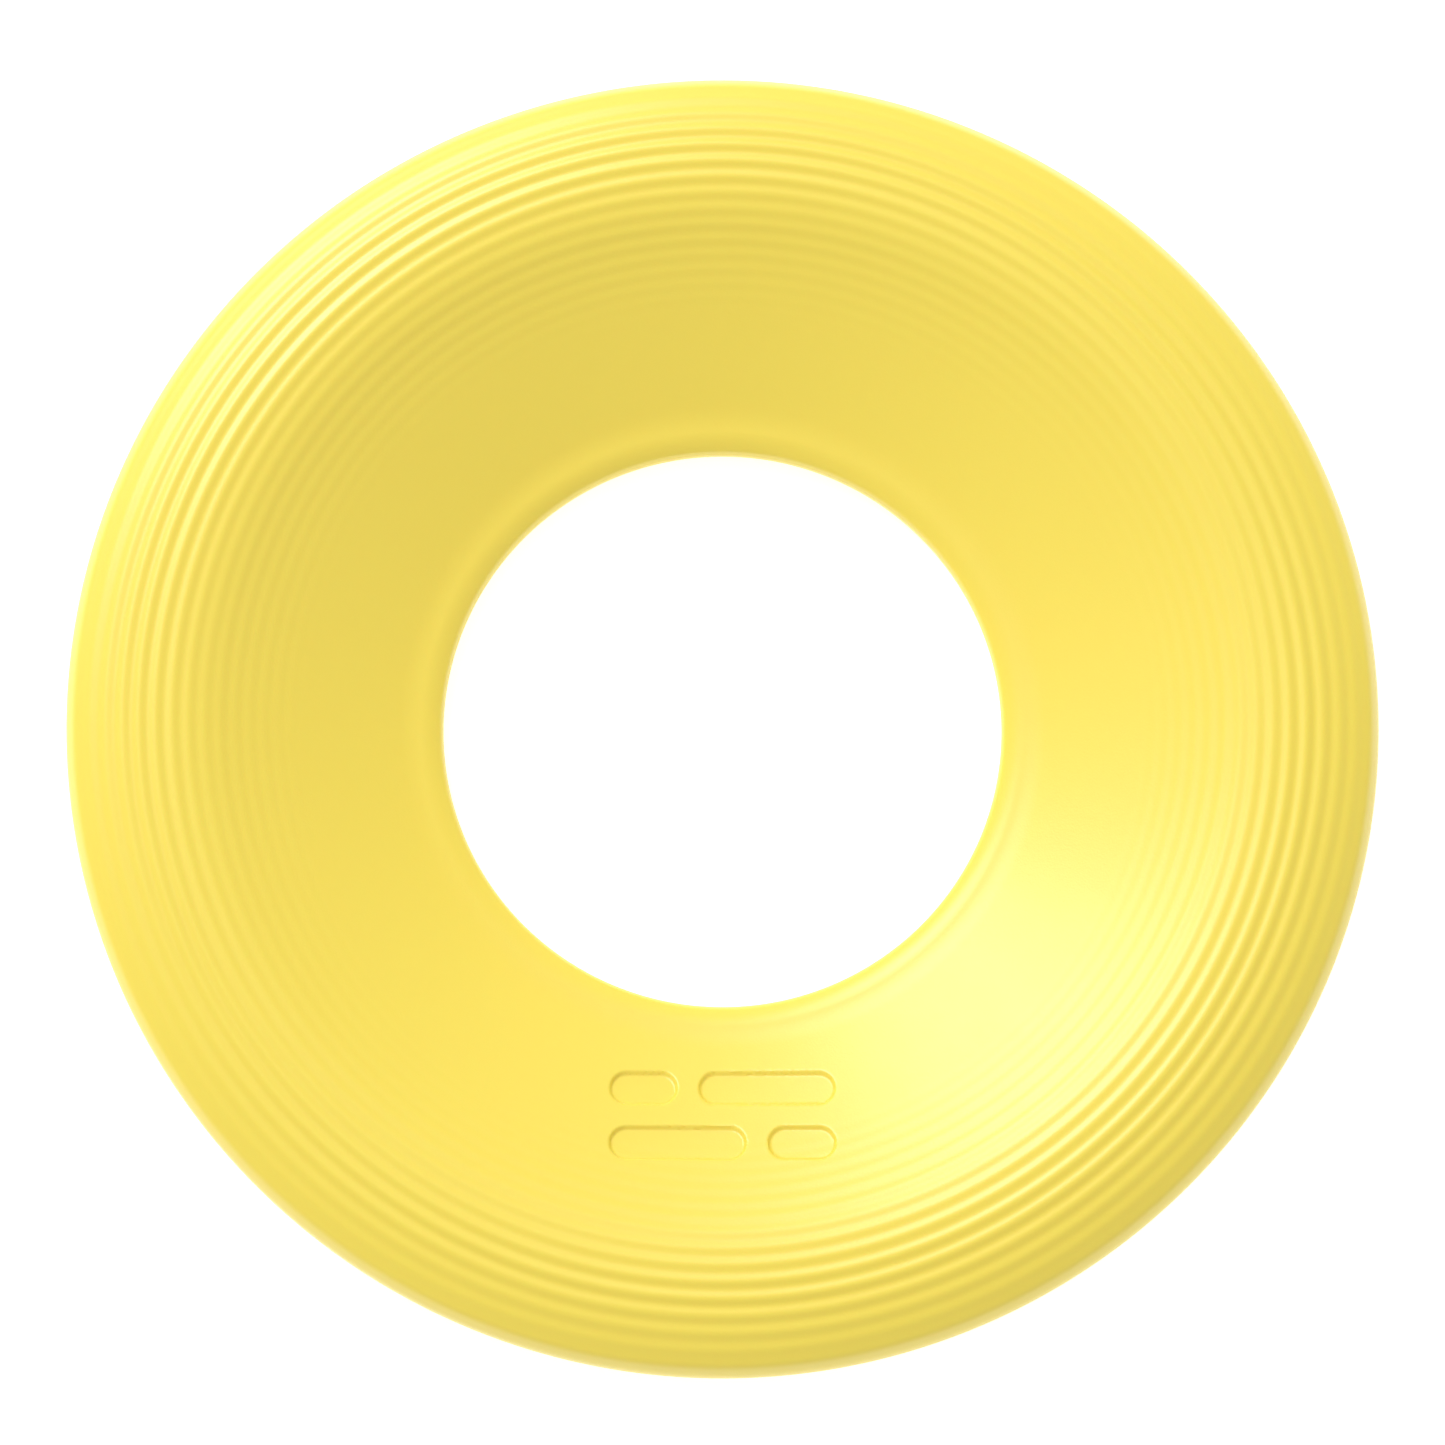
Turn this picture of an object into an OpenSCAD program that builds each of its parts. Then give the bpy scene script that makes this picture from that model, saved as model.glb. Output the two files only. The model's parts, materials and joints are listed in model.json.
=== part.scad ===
// Soft throwing ring for fetch games, juggling and catching practice.
// A ribbed funnel-shaped front shell and a smooth rear shell close round a foam core.
// The shells meet halfway down the centre hole, where a tongue of the front shell sits in the
// rear one, and under the rim, where the rear shell laps behind the front one.
// Millimetres, +Z up: the ring lies on its back and the origin is on the ground,
// at the centre of the hole.

/* [Ring] */
// Outside diameter, across the widest circle of the rim
ring_d = 230; // [210:1:280]
// Diameter of the centre hole at its narrowest
hole_d = 99.5; // [70:0.5:110]

/* [Lip round the hole] */
// Height of the lip where it is flattest
lip_h = 8.3; // [7:0.1:12]
// Slope of the lip where it is flattest
lip_slope = 12; // [9:1:18]
// Radius of the lip's rounded crown
lip_crown_r = 7.6; // [4:0.1:10]
// Slope at which the crown hands over to the lip's upper edge
lip_edge_slope = 38; // [30:1:50]
// Radius of the lip's upper edge, down to the seam in the hole
lip_edge_r = 1.8; // [1.2:0.1:2.4]
// Radius of the lip's lower edge
lip_under_r = 3.6; // [1.5:0.1:3.8]
// Width of solid rubber between the hole and the foam core
collar_w = 10; // [8:0.5:14]
// Width of the flat land under the lip that the ring rests on
land_w = 9; // [7:0.5:16]
// Radius that blends the land into the back
land_blend_r = 12; // [6:1:20]

/* [Funnel face] */
// Slope of the funnel face
cone_angle = 25; // [18:1:32]
// Radius that blends the top of the lip into the funnel
cone_blend_r = 18; // [8:1:22]
// Radius of the rounded crest
crest_r = 30; // [24:1:38]
// How far the top of the crest lies inside the rim
crest_inset = 15; // [13:0.5:20]

/* [Rim] */
// Radius of the rim above its widest circle
rim_top_r = 5.5; // [4.8:0.1:8]
// Radius of the rim below its widest circle
rim_under_r = 7; // [6:0.1:9]

/* [Shells] */
// Thickness of both shells
wall = 2.4; // [1.8:0.1:2.9]
// How far below the widest circle the rim seam lies, along the surface
seam_drop = 5; // [3:0.5:5.5]
// Length of the rear shell's lap behind the front shell
lap_w = 5; // [3:0.5:7]
// Thickness of the lap
lap_t = 1.6; // [1:0.1:1.8]
// Length of the lap's thicker root inside the rear shell
lap_root_w = 2.5; // [1.5:0.5:3]
// Width of the front shell's tongue, set into the rear shell at the hole
tongue_w = 1.6; // [1:0.1:2.2]
// How far the tongue reaches below the seam in the hole
tongue_h = 2; // [1:0.1:2.4]
// Depth and half width of the V groove that marks each seam
seam_groove = 0.25; // [0.1:0.05:0.5]

/* [Ridges] */
// Number of grooves, counted from the rim towards the hole
groove_count = 16; // [6:1:17]
// Distance between grooves at the rim, along the surface
groove_pitch = 3.18; // [2:0.01:3.8]
// How much each groove stands closer than the one outside it
groove_closing = 0.045; // [0:0.005:0.06]
// Distance from the widest circle to the first groove, along the surface
groove_start = 3; // [2.9:0.1:4]
// Height of the ridges from groove to top
ridge_h = 0.3; // [0.1:0.05:0.6]

/* [Mark] */
// Distance of the debossed mark from the ring's axis
mark_r = 69.5; // [64:0.5:76]
// Depth of the mark, straight into the face
mark_depth = 0.7; // [0.2:0.1:1.2]
// Thickness of each round-ended bar
bar_t = 5.6; // [2:0.1:7]
// Length of the mark's short bars
bar_short = 11.5; // [7:0.5:14]
// Length of the mark's long bars
bar_long = 23.5; // [14:0.5:26]
// Gap between the two bars of a row
bar_gap = 4; // [2:0.5:8]
// Distance between the two rows
row_pitch = 9.8; // [7.5:0.1:12]

/* [Hidden] */
$fn = 120;

ring_r = ring_d / 2;
hole_r = hole_d / 2;
deg = 180 / PI;

// Lip, tongue and seam round the hole
// Direction of a slope that faces the ring's axis, as a unit vector
function facing_in(slope) = [-sin(slope), cos(slope)];

lip_w = lip_edge_r * (1 - sin(lip_edge_slope)) + lip_crown_r * (sin(lip_edge_slope) - sin(lip_slope));
lip_flat = [hole_r + lip_w, lip_h];
crown_c = lip_flat - lip_crown_r * facing_in(lip_slope);
edge_c = crown_c + (lip_crown_r - lip_edge_r) * facing_in(lip_edge_slope);
seam_z = edge_c[1];
tongue_z = seam_z - tongue_h;
tongue_out_r = lip_flat[0] + wall * sin(lip_slope);
tongue_in_r = tongue_out_r - tongue_w;
collar_r = hole_r + collar_w;
land_r = hole_r + lip_under_r + land_w;

// Funnel face, from the top of the lip outwards
cone_blend_c = lip_flat + cone_blend_r * facing_in(lip_slope);
cone_in = cone_blend_c - cone_blend_r * facing_in(cone_angle);
crest_at_r = ring_r - crest_inset;
cone_out_r = crest_at_r - crest_r * sin(cone_angle);
cone_len = (cone_out_r - cone_in[0]) / cos(cone_angle);
cone_out_z = cone_in[1] + cone_len * sin(cone_angle);
crest_c = [crest_at_r, cone_out_z - crest_r * cos(cone_angle)];

// Slope at which the crest hands over to the rim's rounding
rim_slope = asin((crest_inset - rim_top_r) / (crest_r - rim_top_r));
rim_z = crest_c[1] + (crest_r - rim_top_r) * cos(rim_slope);
rim_top_c = [ring_r - rim_top_r, rim_z];
rim_under_c = [ring_r - rim_under_r, rim_z];

// The back is the straight tangent between the land's blend and the rim's underside
land_c = [land_r, land_blend_r];
back_run = rim_under_c - land_c;
back_slope = atan2(back_run[1], back_run[0]) + asin((land_blend_r - rim_under_r) / norm(back_run));

// Lengths along the face: zero at the widest circle, rising inwards over the crest
rim_len = rim_top_r * (90 - rim_slope) / deg;
crest_len = crest_r * (rim_slope + cone_angle) / deg;
cone_start = rim_len + crest_len;
blend_start = cone_start + cone_len;
face_len = blend_start + cone_blend_r * (cone_angle - lip_slope) / deg;
under_len = rim_under_r * (90 - back_slope) / deg;

// Where the solid collar ends under the face, measured along the face
collar_end = cone_start + (cone_out_r - collar_r) / cos(cone_angle);

// Direction of the outward normal at a length s along the face
function face_dir(s) =
    s < 0 ? s / rim_under_r * deg :
    s < rim_len ? s / rim_top_r * deg :
    s < cone_start ? 90 - rim_slope + (s - rim_len) / crest_r * deg :
    s < blend_start ? 90 + cone_angle :
    90 + cone_angle - (s - blend_start) / cone_blend_r * deg;

// Point of the smooth face at a length s along it
function face_on(s) =
    let (n = [cos(face_dir(s)), sin(face_dir(s))])
    s < 0 ? rim_under_c + rim_under_r * n :
    s < rim_len ? rim_top_c + rim_top_r * n :
    s < cone_start ? crest_c + crest_r * n :
    s < blend_start ? [cone_out_r, cone_out_z] + (s - cone_start) * [-cos(cone_angle), -sin(cone_angle)] :
    cone_blend_c - cone_blend_r * n;

// Point at a depth under the smooth face
function face(s, depth) = face_on(s) - depth * [cos(face_dir(s)), sin(face_dir(s))];

// Point of the rounded blend between land and back, at a depth above the underside
function land(a, depth) = land_c + (land_blend_r - depth) * [sin(a), -cos(a)];

// Evenly spaced values from a to b
function steps(a, b, n) = [for (i = [0 : n]) a + (b - a) * i / n];

// Length along the face of groove k, which may be a fraction
function groove_at(k) = groove_start + groove_pitch * k - groove_closing * k * k / 2;

// Ridges are full height over the crest. Down the funnel they die away quickly, then slowly,
// and at the rim over the last grooves before the widest circle.
full_ridges = 5;
quick_fade = 5;
slow_fade = 0.7;
rim_fade = 5;
groove_first = -1;
function ridge_fade(k) =
    let (quick = 1 - (k - full_ridges) / quick_fade)
    let (slow = slow_fade * (1 - k / groove_count))
    min(1, max(quick, slow), (k - groove_first) / rim_fade);

// The ribbed surface: four points to a ridge, with a groove at each whole k
quarter = 0.25;
ridged_face = [
    for (k = [groove_first + quarter : quarter : groove_count])
        face(groove_at(k), ridge_h * ridge_fade(k) * (1 + cos(360 * k)) / 2)
];

rim_steps = steps(-seam_drop + seam_groove, 0, 5);

blend_steps = steps(blend_start, face_len, 5);
under_steps = steps(-under_len, -seam_drop - seam_groove, 4);
lap_steps = steps(-seam_drop, lap_w - seam_drop, 8);
roof_steps = concat(
    steps(lap_w - seam_drop, cone_start, 16),
    [collar_end]
);
collar_steps = concat([collar_end], steps(blend_start, face_len, 5));
root_steps = steps(lap_w - seam_drop, -seam_drop - lap_root_w, 10);
floor_steps = steps(-seam_drop - lap_root_w, -under_len, 3);
land_steps = steps(0, back_slope, 3);
edge_steps = 8;
crown_steps = 6;

// Reverses a list of points
function reversed(v) = [for (i = [len(v) - 1 : -1 : 0]) v[i]];

// Inside of the front shell, in the three stretches its neighbours share
lap_side = [for (s = lap_steps) face(s, wall)];
roof_side = [for (s = roof_steps) face(s, wall)];
collar_side = concat(
    [for (s = collar_steps) face(s, wall)],
    [[tongue_out_r, tongue_z], [tongue_in_r, tongue_z], [tongue_in_r, seam_z]],
    [[hole_r + seam_groove, seam_z]]
);

// Inside of the rear shell, from the lap's tip to the collar
lap_inside = [for (s = root_steps) face(s, wall + lap_t)];
floor_side = concat(
    [for (s = floor_steps) face(s, wall)],
    [for (a = reversed(land_steps)) if (land(a, wall)[0] > collar_r) land(a, wall)],
    [[collar_r, wall]]
);

module front_section() {
    polygon(concat(
        [face(-seam_drop, wall), face(-seam_drop, seam_groove)],
        [for (s = rim_steps) face(s, 0)],
        ridged_face,
        [for (s = blend_steps) face(s, 0)],
        [for (a = steps(lip_slope, lip_edge_slope, crown_steps)) if (a > lip_slope)
            crown_c + lip_crown_r * facing_in(a)],
        [for (a = steps(lip_edge_slope, 90, edge_steps)) if (a > lip_edge_slope)
            [edge_c[0] - lip_edge_r * sin(a), seam_z + max(seam_groove, lip_edge_r * cos(a))]],
        reversed(collar_side),
        reversed([for (i = [0 : len(roof_side) - 2]) roof_side[i]]),
        reversed([for (i = [1 : len(lap_side) - 2]) lap_side[i]])
    ));
}

module rear_section() {
    polygon(concat(
        [for (s = under_steps) face(s, 0)],
        [face(-seam_drop, seam_groove)],
        lap_side,
        lap_inside,
        floor_side,
        collar_side,
        [[hole_r, seam_z - seam_groove]],
        [for (a = steps(180, 270, edge_steps))
            [hole_r + lip_under_r, lip_under_r] + lip_under_r * [cos(a), sin(a)]],
        [for (a = land_steps) land(a, 0)]
    ));
}

module core_section() {
    polygon(concat(lap_inside, floor_side, reversed(roof_side)));
}

// Flat outline of the mark: a short and a long bar over a long and a short one
module bar(length) {
    reach = (length - bar_t) / 2;
    square([2 * reach, bar_t], center = true);
    for (side = [-1, 1])
        translate([side * reach, 0])
            circle(d = bar_t);
}

module bar_row() {
    row_w = bar_short + bar_gap + bar_long;
    translate([(bar_short - row_w) / 2, 0])
        bar(bar_short);
    translate([(row_w - bar_long) / 2, 0])
        bar(bar_long);
}

module mark_outline() {
    translate([0, row_pitch / 2])
        bar_row();
    translate([0, -row_pitch / 2])
        mirror([1, 0])
            bar_row();
}

// The mark's cutter: its outline, cut to an even depth under the funnel face
module mark_cutter() {
    skin_top = 2;
    reach = row_pitch + bar_t;
    mark_s = cone_start + (cone_out_r - mark_r) / cos(cone_angle);
    outer_s = max(cone_start, mark_s - reach);
    inner_s = min(blend_start, mark_s + reach);
    intersection() {
        translate([0, -mark_r, 0])
            linear_extrude(height = 2 * lip_h + crest_at_r * sin(cone_angle))
                mark_outline();
        rotate_extrude()
            polygon([
                face(outer_s, mark_depth), face(outer_s, -skin_top),
                face(inner_s, -skin_top), face(inner_s, mark_depth)
            ]);
    }
}

module front_shell() {
    color([0.98, 0.87, 0.30])
        difference() {
            rotate_extrude()
                front_section();
            mark_cutter();
        }
}

module rear_shell() {
    color([0.93, 0.80, 0.24])
        rotate_extrude()
            rear_section();
}

module foam_core() {
    color([0.96, 0.94, 0.86])
        rotate_extrude()
            core_section();
}

front_shell();
rear_shell();
foam_core();
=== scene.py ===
"""Looks for a soft rubber throwing ring: ribbed front skin, smooth rear skin and the foam between them."""
import json
import math

import bpy
import numpy as np
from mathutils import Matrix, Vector


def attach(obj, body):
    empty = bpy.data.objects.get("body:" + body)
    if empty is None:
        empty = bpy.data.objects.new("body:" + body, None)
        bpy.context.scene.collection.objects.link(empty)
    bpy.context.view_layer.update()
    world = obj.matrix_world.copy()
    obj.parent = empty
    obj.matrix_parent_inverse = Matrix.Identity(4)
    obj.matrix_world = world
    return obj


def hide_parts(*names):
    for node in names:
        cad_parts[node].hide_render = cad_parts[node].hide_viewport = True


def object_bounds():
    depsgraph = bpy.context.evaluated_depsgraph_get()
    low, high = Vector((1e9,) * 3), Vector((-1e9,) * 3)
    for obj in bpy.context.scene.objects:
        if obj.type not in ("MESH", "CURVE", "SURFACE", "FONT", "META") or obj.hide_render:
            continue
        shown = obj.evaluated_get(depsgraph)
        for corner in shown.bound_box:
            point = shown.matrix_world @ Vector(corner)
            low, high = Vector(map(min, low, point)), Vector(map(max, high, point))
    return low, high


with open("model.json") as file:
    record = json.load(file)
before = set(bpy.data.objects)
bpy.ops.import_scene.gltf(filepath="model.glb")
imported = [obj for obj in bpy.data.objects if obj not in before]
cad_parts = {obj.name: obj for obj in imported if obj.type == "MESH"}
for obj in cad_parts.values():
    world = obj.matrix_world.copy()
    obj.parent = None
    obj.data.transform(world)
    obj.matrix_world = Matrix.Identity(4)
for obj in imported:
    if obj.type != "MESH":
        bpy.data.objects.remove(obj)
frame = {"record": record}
cad_low, cad_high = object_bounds()

MM = 0.001
TURN = 2 * math.pi

# ---------------------------------------------------------------- sizes, in millimetres

hole_mount = next(m for m in frame["record"]["mounts"] if m["name"] == "centre_hole")
RING_R = cad_high[0] / MM
HOLE_R = hole_mount["dims"]["r_mm"]

LIP_H = 8.3
LIP_SLOPE = math.radians(12)
LIP_CROWN_R = 7.6
LIP_EDGE_SLOPE = math.radians(38)
LIP_EDGE_R = 1.8
LIP_UNDER_R = 3.6
LAND_W = 9.0
LAND_BLEND_R = 12.0
COLLAR_W = 10.0

CONE_ANGLE = math.radians(25)
CONE_BLEND_R = 18.0
CREST_R = 30.0
CREST_INSET = 15.0
RIM_TOP_R = 5.5
RIM_UNDER_R = 7.0

WALL = 2.4
SEAM_DROP = 5.0
LAP_W = 5.0
LAP_T = 1.6
LAP_ROOT_W = 2.5
TONGUE_W = 1.6
TONGUE_H = 2.0
SEAM_EDGE_R = 0.3
SEAM_EDGE_MID = 0.3 * SEAM_EDGE_R

GROOVES = 16
GROOVE_START = 3.0
GROOVE_PITCH = 3.18
GROOVE_CLOSING = 0.045
RIDGE_H = 0.3
FULL_RIDGES = 5
QUICK_FADE = 5
SLOW_FADE = 0.7
RIM_FADE = 5

MARK_R = 69.5
MARK_DEPTH = 0.7
MARK_EDGE_W = 0.5
BAR_T = 5.6
BAR_SHORT = 11.5
BAR_LONG = 23.5
BAR_GAP = 4.0
ROW_PITCH = 9.8

# How finely the pieces are cut up
SKIN_COLUMNS = 480
CORE_COLUMNS = 240
STEPS_PER_RIDGE = 12
FUNNEL_STEP = 0.3
MARK_HALF_ANGLE = math.radians(19)
MARK_STEP_ANGLE = math.radians(0.2)
SHARP_ANGLE = math.radians(50)


# ---------------------------------------------------------------- the ring's section

def polar(centre, radius, angle):
    """Point on a circle, in the section's own plane of radius and height."""
    return np.array(centre) + radius * np.array([math.cos(angle), math.sin(angle)])


def facing_in(slope):
    """Unit vector out of a slope that faces the ring's axis."""
    return np.array([-math.sin(slope), math.cos(slope)])


class Section:
    """The ring's outline by length along the face: zero at the widest circle, rising over the crest."""

    def __init__(self):
        edge_w = LIP_EDGE_R * (1 - math.sin(LIP_EDGE_SLOPE))
        lip_w = edge_w + LIP_CROWN_R * (math.sin(LIP_EDGE_SLOPE) - math.sin(LIP_SLOPE))
        lip_flat = np.array([HOLE_R + lip_w, LIP_H])
        self.crown_c = lip_flat - LIP_CROWN_R * facing_in(LIP_SLOPE)
        self.edge_c = self.crown_c + (LIP_CROWN_R - LIP_EDGE_R) * facing_in(LIP_EDGE_SLOPE)
        self.seam_z = self.edge_c[1]
        self.tongue_r = lip_flat[0] + WALL * math.sin(LIP_SLOPE)
        self.blend_c = lip_flat + CONE_BLEND_R * facing_in(LIP_SLOPE)
        cone_in = self.blend_c - CONE_BLEND_R * facing_in(CONE_ANGLE)
        crest_r = RING_R - CREST_INSET
        cone_out_r = crest_r - CREST_R * math.sin(CONE_ANGLE)
        self.cone_len = (cone_out_r - cone_in[0]) / math.cos(CONE_ANGLE)
        self.downhill = np.array([-math.cos(CONE_ANGLE), -math.sin(CONE_ANGLE)])
        self.cone_out = cone_in - self.cone_len * self.downhill
        self.crest_c = (crest_r, self.cone_out[1] - CREST_R * math.cos(CONE_ANGLE))
        self.rim_slope = math.asin((CREST_INSET - RIM_TOP_R) / (CREST_R - RIM_TOP_R))
        rim_z = self.crest_c[1] + (CREST_R - RIM_TOP_R) * math.cos(self.rim_slope)
        self.rim_top_c = (RING_R - RIM_TOP_R, rim_z)
        self.rim_under_c = (RING_R - RIM_UNDER_R, rim_z)
        self.land_c = (HOLE_R + LIP_UNDER_R + LAND_W, LAND_BLEND_R)
        run = np.array(self.rim_under_c) - np.array(self.land_c)
        lean = math.asin((LAND_BLEND_R - RIM_UNDER_R) / math.hypot(*run))
        self.back_slope = math.atan2(run[1], run[0]) + lean
        self.rim_len = RIM_TOP_R * (math.pi / 2 - self.rim_slope)
        self.cone_start = self.rim_len + CREST_R * (self.rim_slope + CONE_ANGLE)
        self.blend_start = self.cone_start + self.cone_len
        self.face_len = self.blend_start + CONE_BLEND_R * (CONE_ANGLE - LIP_SLOPE)
        self.under_len = RIM_UNDER_R * (math.pi / 2 - self.back_slope)
        self.cone_out_r = cone_out_r

    def direction(self, s):
        """Angle of the outward normal at a length s along the face."""
        if s < 0:
            return s / RIM_UNDER_R
        if s < self.rim_len:
            return s / RIM_TOP_R
        if s < self.cone_start:
            return math.pi / 2 - self.rim_slope + (s - self.rim_len) / CREST_R
        if s < self.blend_start:
            return math.pi / 2 + CONE_ANGLE
        return math.pi / 2 + CONE_ANGLE - (s - self.blend_start) / CONE_BLEND_R

    def face(self, s, depth=0.0):
        """Point at a depth under the smooth face."""
        angle = self.direction(s)
        if s < 0:
            return polar(self.rim_under_c, RIM_UNDER_R - depth, angle)
        if s < self.rim_len:
            return polar(self.rim_top_c, RIM_TOP_R - depth, angle)
        if s < self.cone_start:
            return polar(self.crest_c, CREST_R - depth, angle)
        if s < self.blend_start:
            return polar(self.cone_out + (s - self.cone_start) * self.downhill, -depth, angle)
        return polar(self.blend_c, -CONE_BLEND_R - depth, angle)

    def land(self, angle, depth=0.0):
        """Point on the blend between the flat land and the back."""
        return polar(self.land_c, LAND_BLEND_R - depth, angle - math.pi / 2)

    def at_radius(self, radius):
        """Length along the face to a radius on the funnel."""
        return self.cone_start + (self.cone_out_r - radius) / math.cos(CONE_ANGLE)


ring = Section()


def groove_at(k):
    """Length along the face to groove k, counted from the rim."""
    return GROOVE_START + GROOVE_PITCH * k - GROOVE_CLOSING * k * k / 2


def rib_depth(k):
    """How deep the ribbed face lies under the smooth one: full at whole k, nothing at ridge tops."""
    quick = 1 - (k - FULL_RIDGES) / QUICK_FADE
    slow = SLOW_FADE * (1 - k / GROOVES)
    fade = min(1, max(quick, slow), (k + 1) / RIM_FADE)
    return RIDGE_H * fade * (1 + math.cos(TURN * k)) / 2


def arc(centre, radius, first, last, count):
    """Points along a circular edge, both ends included."""
    return [polar(centre, radius, a) for a in np.linspace(first, last, count)]


# ---------------------------------------------------------------- turned meshes

def even_turn(count):
    """Angles of evenly spaced columns."""
    return np.arange(count) * TURN / count


def turn_with_fine_patch(count, centre, half_width, fine_step):
    """Evenly spaced columns, with closer ones over the patch that holds the mark."""
    columns = centre + even_turn(count)
    offset = (columns - centre + math.pi) % TURN - math.pi
    plain = columns[np.abs(offset) > half_width]
    fine = centre + np.arange(-half_width, half_width + fine_step / 2, fine_step)
    joined = np.concatenate([plain, fine])
    return joined[np.argsort((joined - centre) % TURN)]


def turned(name, section, columns, carve=None):
    """Closed mesh made by turning a closed section; carve, if given, moves single points of it."""
    rings = np.array(section)
    radius, height = rings[:, 0][:, None], rings[:, 1][:, None]
    grid = np.stack([
        radius * np.cos(columns)[None, :],
        radius * np.sin(columns)[None, :],
        height + 0 * columns[None, :],
    ], axis=2)
    if carve is not None:
        grid = carve(grid)
    rows, cols = len(rings), len(columns)
    index = np.arange(rows * cols).reshape(rows, cols)
    down = np.roll(index, -1, axis=0)
    quads = np.stack([index, down, np.roll(down, -1, axis=1), np.roll(index, -1, axis=1)], axis=2)
    mesh = bpy.data.meshes.new(name)
    mesh.from_pydata((grid.reshape(-1, 3) * MM).tolist(), [], quads.reshape(-1, 4).tolist())
    mesh.validate()
    mesh.shade_smooth()
    mesh.set_sharp_from_angle(angle=SHARP_ANGLE)
    piece = bpy.data.objects.new(name, mesh)
    bpy.context.scene.collection.objects.link(piece)
    return piece


# ---------------------------------------------------------------- the debossed mark

def bar_distance(x, y, centre_x, centre_y, length):
    """Distance from a round-ended bar's edge, below zero inside it."""
    reach = (length - BAR_T) / 2
    past_end = np.maximum(np.abs(x - centre_x) - reach, 0)
    return np.hypot(past_end, y - centre_y) - BAR_T / 2


def mark_distance(x, y):
    """Distance from the edge of the whole mark: a short and a long bar over a long and a short one."""
    row_w = BAR_SHORT + BAR_GAP + BAR_LONG
    short_x = (row_w - BAR_SHORT) / 2
    long_x = (row_w - BAR_LONG) / 2
    upper, lower = -MARK_R + ROW_PITCH / 2, -MARK_R - ROW_PITCH / 2
    bars = [
        bar_distance(x, y, -short_x, upper, BAR_SHORT),
        bar_distance(x, y, long_x, upper, BAR_LONG),
        bar_distance(x, y, -long_x, lower, BAR_LONG),
        bar_distance(x, y, short_x, lower, BAR_SHORT),
    ]
    return np.minimum.reduce(bars)


def carve_mark(grid):
    """Sinks the mark into the funnel face, straight in, with softly sloped walls."""
    x, y, z = grid[..., 0], grid[..., 1], grid[..., 2]
    radius = np.hypot(x, y)
    face_z = ring.cone_out[1] + (radius - ring.cone_out_r) * math.tan(CONE_ANGLE)
    on_face = np.abs(z - face_z) < WALL / 2
    t = np.clip(0.5 - mark_distance(x, y) / MARK_EDGE_W, 0, 1)
    depth = MARK_DEPTH * t * t * (3 - 2 * t) * on_face
    inward = math.sin(CONE_ANGLE) * depth / radius
    carved = grid.copy()
    carved[..., 0] += x * inward
    carved[..., 1] += y * inward
    carved[..., 2] -= math.cos(CONE_ANGLE) * depth
    return carved


# ---------------------------------------------------------------- the three pieces

def along(first, last, count, depth=0.0):
    """Points along the face at an even depth, both ends included."""
    return [ring.face(s, depth) for s in np.linspace(first, last, count)]


def tongue_side():
    """Under the front shell from the collar's edge to the hole: blend, tongue and seam."""
    tongue_z = ring.seam_z - TONGUE_H
    inner_r = ring.tongue_r - TONGUE_W
    blend = along(ring.blend_start, ring.face_len, 8, WALL)
    return blend + [(ring.tongue_r, tongue_z), (inner_r, tongue_z), (inner_r, ring.seam_z)]


def front_section():
    """Front shell: rolled rim, ribbed crest and funnel, rounded lip, tongue in the hole, plain inside."""
    mark_s = ring.at_radius(MARK_R - ROW_PITCH)
    ribs_end = groove_at(GROOVES)
    seam_edge = [
        ring.face(-SEAM_DROP, SEAM_EDGE_R),
        ring.face(-SEAM_DROP + SEAM_EDGE_MID, SEAM_EDGE_MID),
    ]
    rim = along(-SEAM_DROP + SEAM_EDGE_R, groove_at(-1), 12)[:-1]
    ribs = [
        ring.face(groove_at(k), rib_depth(k))
        for k in np.linspace(-1, GROOVES, (GROOVES + 1) * STEPS_PER_RIDGE + 1)
    ]
    funnel = [ring.face(s) for s in np.arange(ribs_end + FUNNEL_STEP, mark_s, FUNNEL_STEP)]
    funnel += along(mark_s, ring.blend_start, 5)
    blend = along(ring.blend_start, ring.face_len, 12)[1:]
    edge_start = math.pi / 2 + LIP_EDGE_SLOPE
    edge_end = math.pi - math.asin(SEAM_EDGE_R / LIP_EDGE_R)
    lip = arc(ring.crown_c, LIP_CROWN_R, math.pi / 2 + LIP_SLOPE, edge_start, 14)[1:]
    lip += arc(ring.edge_c, LIP_EDGE_R, edge_start, edge_end, 14)[1:]
    lip += [
        (HOLE_R + SEAM_EDGE_MID, ring.seam_z + SEAM_EDGE_MID),
        (HOLE_R + SEAM_EDGE_R, ring.seam_z),
    ]
    inside = along(-SEAM_DROP, ring.cone_start, 30, WALL)
    inside += along(ring.cone_start, ring.blend_start, 6, WALL)[1:-1]
    return seam_edge + rim + ribs + funnel + blend + lip + (inside + tongue_side())[::-1]


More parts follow.
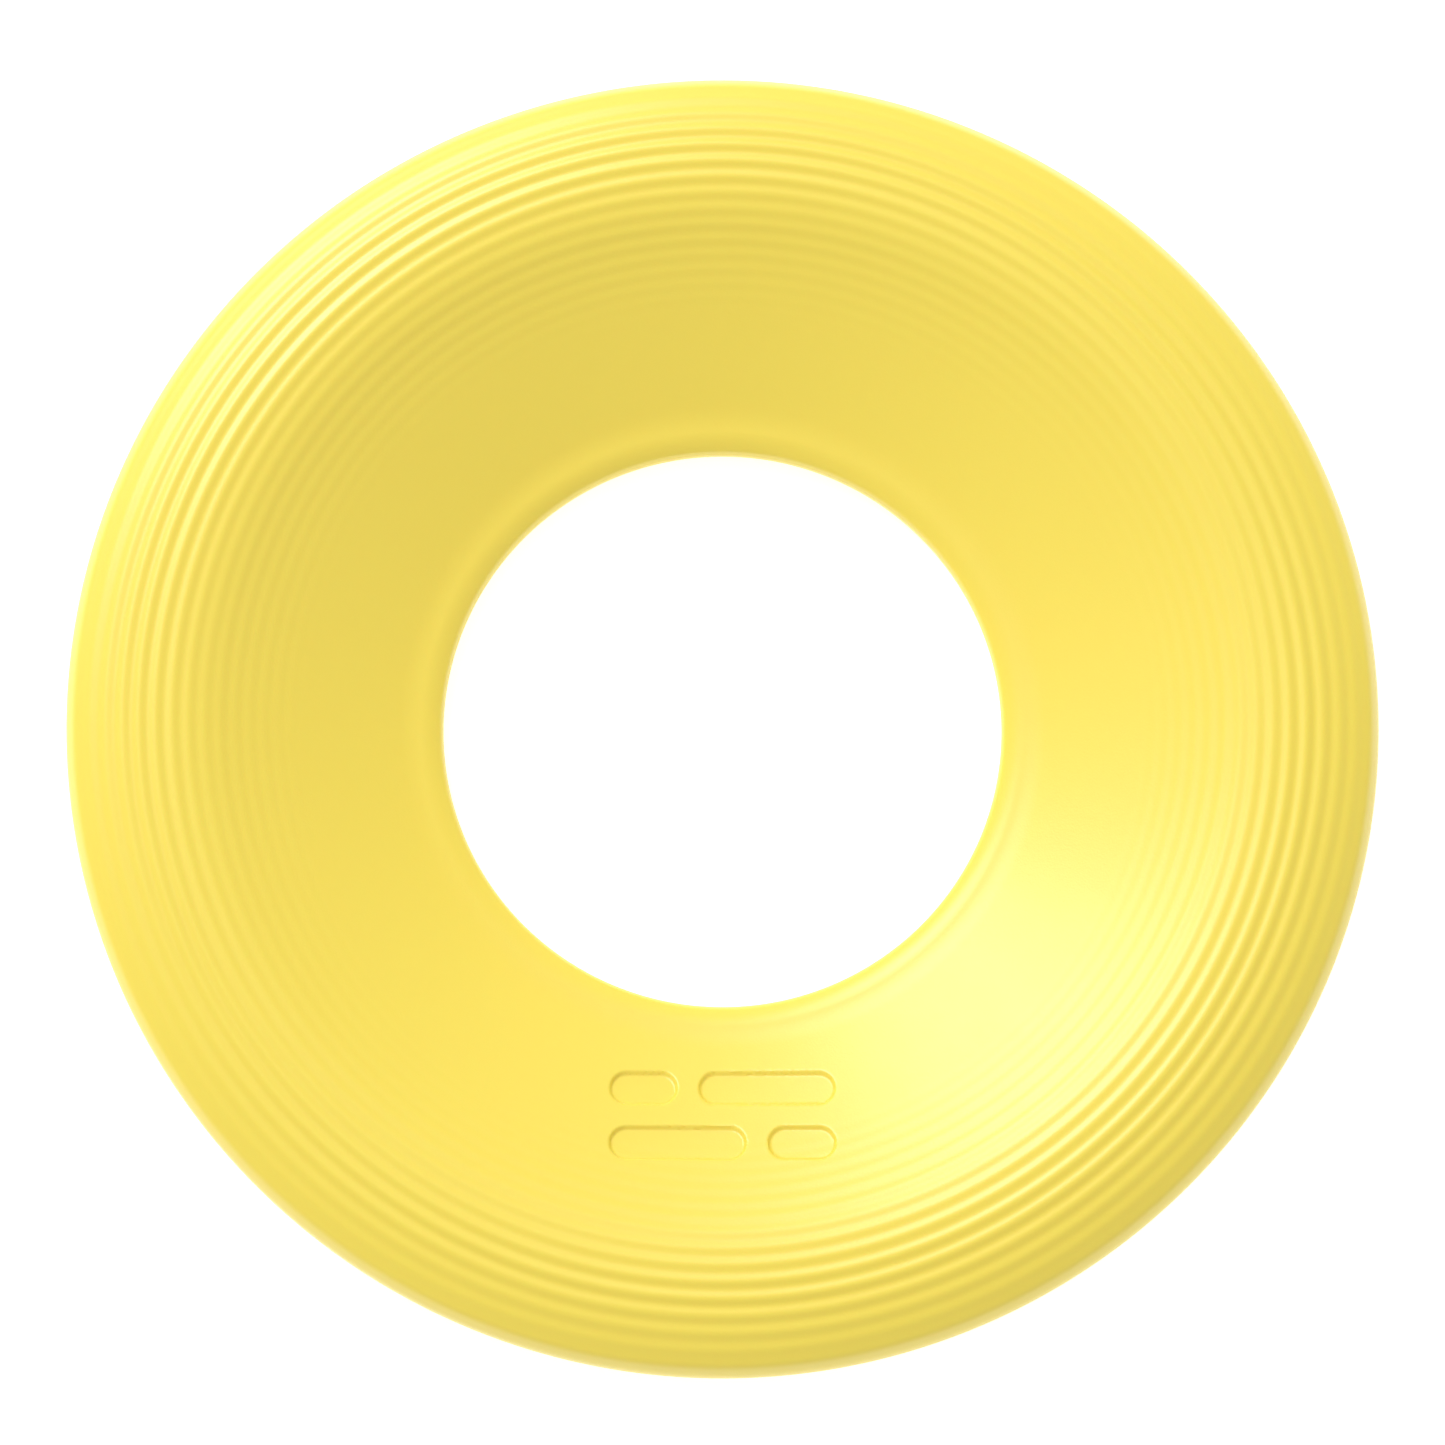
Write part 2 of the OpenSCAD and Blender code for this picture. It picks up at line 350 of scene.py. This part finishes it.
def rear_section():
    """Rear shell: smooth back, flat land, lower lip, groove for the tongue, and the lap behind the rim."""
    seam_edge = [
        ring.face(-SEAM_DROP - SEAM_EDGE_MID, SEAM_EDGE_MID),
        ring.face(-SEAM_DROP, SEAM_EDGE_R),
    ]
    under = along(-ring.under_len, -SEAM_DROP - SEAM_EDGE_R, 12)
    lap = along(-SEAM_DROP, LAP_W - SEAM_DROP, 8, WALL)
    lap += along(LAP_W - SEAM_DROP, -SEAM_DROP - LAP_ROOT_W, 10, WALL + LAP_T)
    floor = along(-SEAM_DROP - LAP_ROOT_W, -ring.under_len, 4, WALL)
    floor += [ring.land(a, WALL) for a in np.linspace(ring.back_slope, 0, 6)]
    collar_r = HOLE_R + COLLAR_W
    collar = [(collar_r, WALL), ring.face(ring.at_radius(collar_r), WALL)] + tongue_side()
    waist = [
        (HOLE_R + SEAM_EDGE_R, ring.seam_z),
        (HOLE_R + SEAM_EDGE_MID, ring.seam_z - SEAM_EDGE_MID),
        (HOLE_R, ring.seam_z - SEAM_EDGE_R),
    ]
    bottom = arc((HOLE_R + LIP_UNDER_R, LIP_UNDER_R), LIP_UNDER_R, math.pi, 1.5 * math.pi, 16)
    bottom += [ring.land(a) for a in np.linspace(0, ring.back_slope, 8)]
    back = [
        (1 - t) * ring.land(ring.back_slope) + t * ring.face(-ring.under_len)
        for t in np.linspace(0, 1, 8)[1:-1]
    ]
    return under + seam_edge + lap + floor + collar + waist + bottom + back


def core_section():
    """Foam core: the room between the two shells."""
    collar_r = HOLE_R + COLLAR_W
    roof = along(LAP_W - SEAM_DROP, ring.cone_start, 30, WALL)
    roof += along(ring.cone_start, ring.at_radius(collar_r), 12, WALL)[1:]
    lap_inside = along(-SEAM_DROP - LAP_ROOT_W, LAP_W - SEAM_DROP, 10, WALL + LAP_T)
    floor = [(collar_r, WALL)]
    floor += [ring.land(a, WALL) for a in np.linspace(0, ring.back_slope, 6)]
    floor += along(-ring.under_len, -SEAM_DROP - LAP_ROOT_W, 4, WALL)
    return roof + floor + lap_inside


# ---------------------------------------------------------------- materials

class Wire:
    """A socket that carries a number, with arithmetic that adds Math nodes."""

    def __init__(self, finish, socket):
        self.finish = finish
        self.socket = socket

    def _math(self, operation, first, second):
        node = self.finish.node("ShaderNodeMath", {"operation": operation}, {0: first, 1: second})
        return self.finish.wire(node, 0)

    def __add__(self, other):
        return self._math("ADD", self, other)

    def __radd__(self, other):
        return self._math("ADD", other, self)

    def __mul__(self, other):
        return self._math("MULTIPLY", self, other)

    def __rmul__(self, other):
        return self._math("MULTIPLY", other, self)


class Finish:
    """One material's node tree, built around a Principled shader."""

    def __init__(self, name):
        self.material = bpy.data.materials.new(name)
        self.material.use_nodes = True
        self.tree = self.material.node_tree
        self.tree.nodes.clear()
        self.shader = self.tree.nodes.new("ShaderNodeBsdfPrincipled")
        output = self.tree.nodes.new("ShaderNodeOutputMaterial")
        self.tree.links.new(self.shader.outputs["BSDF"], output.inputs["Surface"])
        self.place = self.wire(self.node("ShaderNodeTexCoord"), "Object")

    def node(self, kind, settings=None, sockets=None):
        """Adds a node, sets it up, then fills or links its sockets."""
        made = self.tree.nodes.new(kind)
        for key, value in (settings or {}).items():
            setattr(made, key, value)
        for key, value in (sockets or {}).items():
            self.feed(made.inputs[key], value)
        return made

    def feed(self, socket, value):
        if isinstance(value, Wire):
            self.tree.links.new(value.socket, socket)
        else:
            socket.default_value = value

    def wire(self, node, output):
        return Wire(self, node.outputs[output])

    def noise(self, scale, detail=2.0, roughness=0.5):
        """Soft random pattern, in features per metre."""
        made = self.node("ShaderNodeTexNoise", None, {
            "Vector": self.place, "Scale": scale, "Detail": detail, "Roughness": roughness,
        })
        return self.wire(made, "Fac")

    def blend(self, amount, low, high):
        """Mixes two colours by a wire from 0 to 1."""
        made = self.node("ShaderNodeMix", {"data_type": "RGBA"}, {"Factor": amount, 6: low, 7: high})
        return self.wire(made, 2)

    def bump(self, height, distance, strength=1.0):
        made = self.node("ShaderNodeBump", None, {
            "Height": height, "Distance": distance, "Strength": strength,
        })
        return self.wire(made, "Normal")

    def set(self, **values):
        """Sets the shader's own sockets by name, with underscores for spaces."""
        for key, value in values.items():
            self.feed(self.shader.inputs[key.replace("_", " ")], value)
        return self


def soft_rubber(name, pale, deep, grain_depth):
    """Satin lemon-yellow rubber: a faint cloud of colour, fine moulded grain and a soft glow inside."""
    finish = Finish(name)
    cloud = finish.noise(22.0, detail=3.0)
    grain = finish.noise(2600.0, detail=3.0, roughness=0.6)
    flow = finish.noise(140.0, detail=2.0)
    finish.set(
        Base_Color=finish.blend(cloud * 0.6 + grain * 0.4, deep, pale),
        Roughness=0.29 + 0.08 * grain + 0.04 * flow,
        Normal=finish.bump(grain + 0.5 * flow, grain_depth * MM),
        Subsurface_Weight=0.25,
        Subsurface_Radius=(1.0, 0.75, 0.25),
        Subsurface_Scale=0.002,
        IOR=1.6,
        Coat_Weight=0.7,
        Coat_Roughness=0.7,
        Coat_IOR=1.75,
    )
    return finish.material


def closed_cell_foam(name):
    """Pale foam with a fine skin of burst cells."""
    finish = Finish(name)
    burst = finish.node("ShaderNodeTexVoronoi", None, {"Vector": finish.place, "Scale": 900.0})
    cells = finish.wire(burst, "Distance")
    cloud = finish.noise(60.0, detail=3.0)
    finish.set(
        Base_Color=finish.blend(cells * 0.7 + cloud * 0.3, (0.72, 0.68, 0.52, 1), (0.90, 0.88, 0.78, 1)),
        Roughness=0.82 + 0.12 * cloud,
        Normal=finish.bump(cells, 0.15 * MM),
    )
    return finish.material


# ---------------------------------------------------------------- putting the ring together

YELLOW_PALE = (0.910, 0.722, 0.060, 1)
YELLOW_DEEP = (0.885, 0.692, 0.050, 1)

mark_columns = turn_with_fine_patch(SKIN_COLUMNS, -math.pi / 2, MARK_HALF_ANGLE, MARK_STEP_ANGLE)

front_skin = turned("front_skin", front_section(), mark_columns, carve_mark)
front_skin.data.materials.append(soft_rubber("ribbed_yellow_rubber", YELLOW_PALE, YELLOW_DEEP, 0.02))

rear_skin = turned("rear_skin", rear_section(), even_turn(SKIN_COLUMNS))
rear_skin.data.materials.append(soft_rubber("smooth_yellow_rubber", YELLOW_PALE, YELLOW_DEEP, 0.025))

core = turned("core_foam", core_section(), even_turn(CORE_COLUMNS))
core.data.materials.append(closed_cell_foam("closed_cell_foam"))

for piece, node, slot in (
    (front_skin, "front_shell", "ribbed_rubber"),
    (rear_skin, "rear_shell", "smooth_rubber"),
    (core, "foam_core", "closed_cell_foam"),
):
    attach(piece, "root")
    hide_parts(node)


# ---------------------------------------------------------------- stage, in metres

FLOOR_HALF = 3.0
FLOOR_GLOW = 0.65
WORLD_GLOW = 0.6
KEY_PLACE = (-0.93, 1.38, 1.77)
KEY_SIZE = 1.15
KEY_WATTS = 40.5
CAMERA_DISTANCE = 0.85
CAMERA_ELEVATION = math.radians(81.4)
CAMERA_AIM = (0, -0.001, ring.rim_top_c[1] * MM)
CAMERA_LENS = 120.8


def make_floor():
    """Wide plain pale floor that the ring lies on."""
    half = FLOOR_HALF
    mesh = bpy.data.meshes.new("floor")
    corners = [(-half, -half, 0), (half, -half, 0), (half, half, 0), (-half, half, 0)]
    mesh.from_pydata(corners, [], [(0, 1, 2, 3)])
    floor = bpy.data.objects.new("floor", mesh)
    bpy.context.scene.collection.objects.link(floor)
    finish = Finish("pale_floor")
    finish.set(
        Base_Color=finish.blend(finish.noise(3.0), (0.86, 0.86, 0.86, 1), (0.90, 0.90, 0.90, 1)),
        Roughness=0.9,
        Emission_Color=(1, 1, 1, 1),
        Emission_Strength=FLOOR_GLOW,
    )
    floor.data.materials.append(finish.material)


def soft_light(name, place, size, power, aim=(0, 0, 0)):
    """Square soft box aimed at a point."""
    data = bpy.data.lights.new(name, "AREA")
    data.size = size
    data.energy = power
    lamp = bpy.data.objects.new(name, data)
    lamp.location = place
    lamp.rotation_euler = (Vector(aim) - Vector(place)).to_track_quat("-Z", "Y").to_euler()
    bpy.context.scene.collection.objects.link(lamp)


def make_world(strength):
    """Even white surround."""
    world = bpy.data.worlds.new("studio")
    world.use_nodes = True
    background = world.node_tree.nodes["Background"]
    background.inputs["Color"].default_value = (1, 1, 1, 1)
    background.inputs["Strength"].default_value = strength
    bpy.context.scene.world = world


def make_camera(distance, elevation, aim, lens):
    """Camera south of the ring, looking down along +Y."""
    data = bpy.data.cameras.new("camera")
    data.lens = lens
    data.sensor_width = 36.0
    camera = bpy.data.objects.new("camera", data)
    away = Vector((0, -math.cos(elevation), math.sin(elevation)))
    camera.location = Vector(aim) + distance * away
    camera.rotation_euler = (-away).to_track_quat("-Z", "Y").to_euler()
    bpy.context.scene.collection.objects.link(camera)
    bpy.context.scene.camera = camera


make_floor()
make_world(WORLD_GLOW)
soft_light("key", KEY_PLACE, KEY_SIZE, KEY_WATTS)
make_camera(CAMERA_DISTANCE, CAMERA_ELEVATION, CAMERA_AIM, CAMERA_LENS)
bpy.context.scene.view_settings.view_transform = "Standard"
